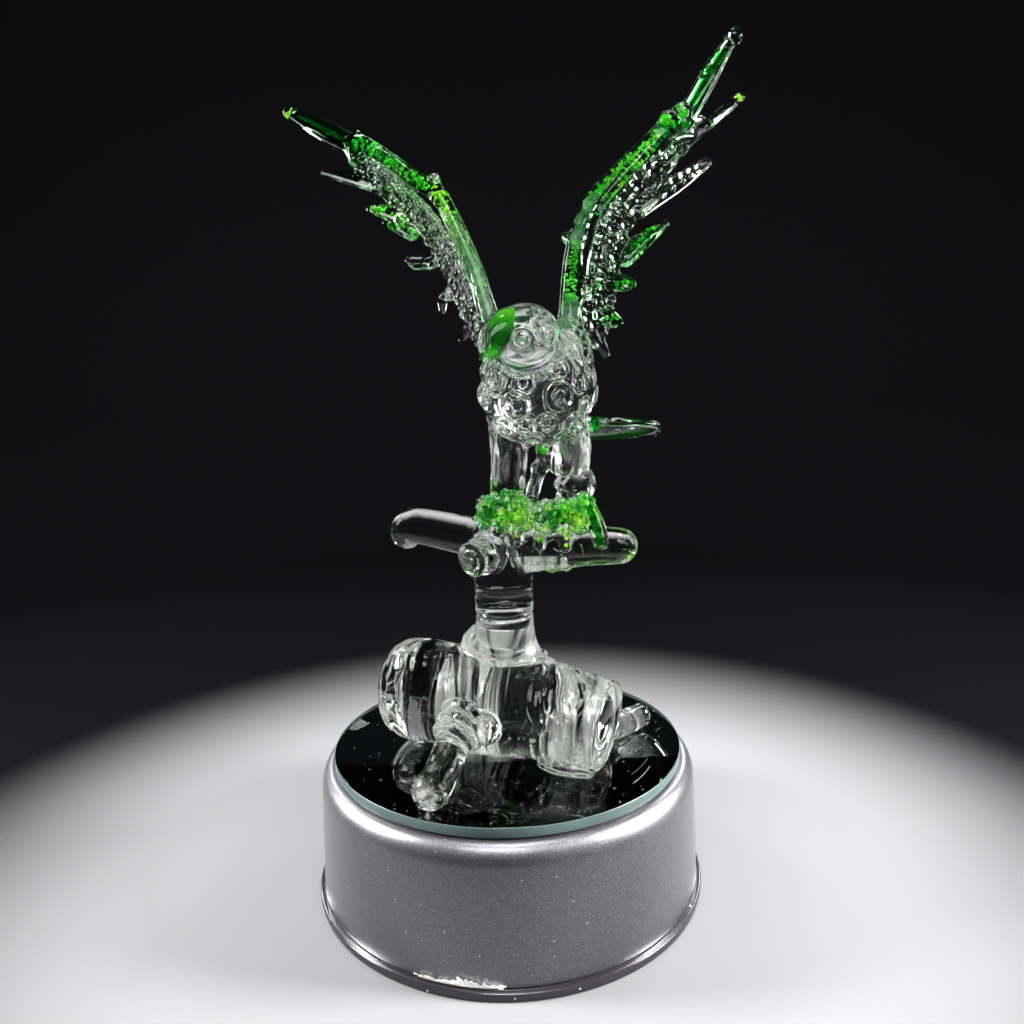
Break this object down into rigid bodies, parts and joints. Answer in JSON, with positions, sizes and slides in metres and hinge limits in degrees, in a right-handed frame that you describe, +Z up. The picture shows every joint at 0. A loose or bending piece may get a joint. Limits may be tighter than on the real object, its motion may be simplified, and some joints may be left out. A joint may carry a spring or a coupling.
{
  "type": "glass eagle figurine on a turning display base",
  "caption": "Lampworked clear and green glass eagle with raised wings on a glass branch, standing on a round mirror-topped display base that turns.",
  "frame": {"origin": "centre of the base's underside, on the axis the base turns about", "axes": "+Z up along the turning axis; the eagle looks towards -Y and a little to -X; +X to the right of someone who faces it"},
  "size_m": [0.1529, 0.1384, 0.2802],
  "materials": {
    "dark_plastic": "glossy black moulded plastic",
    "silver_paint": "silver metallic paint with fine flake, chipped along the lower front edge",
    "mirror": "polished mirror pane with a grey-green edge",
    "clear_glass": "flame-polished clear glass with green glass in the beak, feet, tail and wing edges"
  },
  "bodies": {
    "base": {"base_plate": "dark_plastic"},
    "turntable": {"drum_shell": "silver_paint", "mirror_top": "mirror", "glass_eagle": "clear_glass"}
  },
  "joints": [
    {"name": "turntable_spin", "type": "hinge", "parent": "base", "child": "turntable", "pos_m": [0, 0, 0.0031], "axis": [0, 0, 1], "continuous": true}
  ]
}
